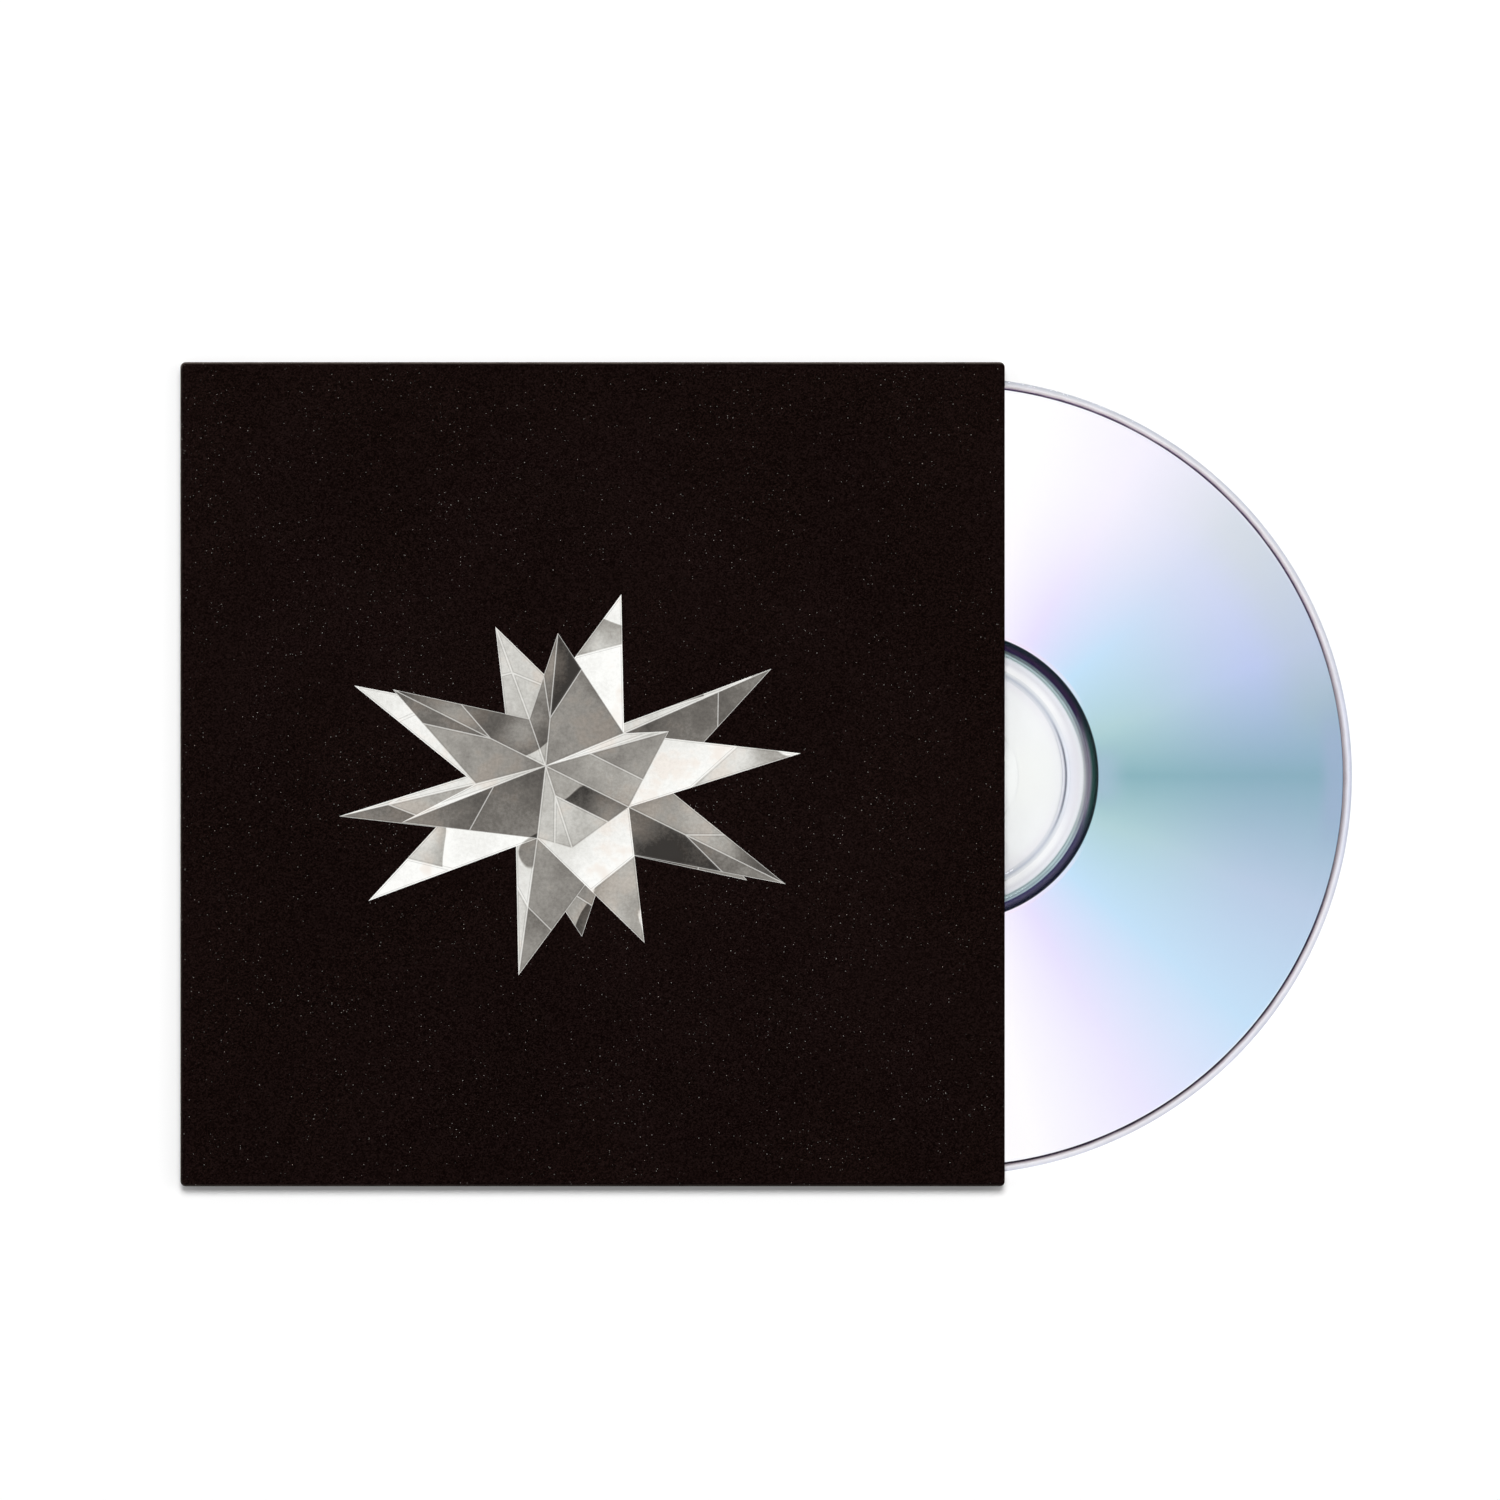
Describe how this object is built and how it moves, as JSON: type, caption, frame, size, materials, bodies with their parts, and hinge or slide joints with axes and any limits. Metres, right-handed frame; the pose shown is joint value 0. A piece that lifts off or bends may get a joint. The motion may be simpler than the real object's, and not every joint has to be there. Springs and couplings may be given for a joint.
{
  "type": "cd card sleeve with disc",
  "caption": "Flat square card sleeve for a compact disc, folded from printed board and open at one edge, with the disc sliding out of it.",
  "frame": {"origin": "middle of the sleeve's back face, on the surface that it lies on", "axes": "+X from the spine to the open edge, the way the disc comes out; +Y up the printed front; +Z out of the printed front"},
  "size_m": [0.1763, 0.124, 0.003],
  "materials": {
    "printed_board": "matte",
    "clear_plastic": "gloss",
    "metal_film": "polished"
  },
  "bodies": {
    "sleeve": {"sleeve": "printed_board"},
    "disc": {"disc_substrate": "clear_plastic", "reflective_layer": "metal_film"}
  },
  "joints": [
    {"name": "disc_slide", "type": "slide", "parent": "sleeve", "child": "disc", "axis": [1, 0, 0], "range_m": [-0.0555, 0.07]}
  ]
}
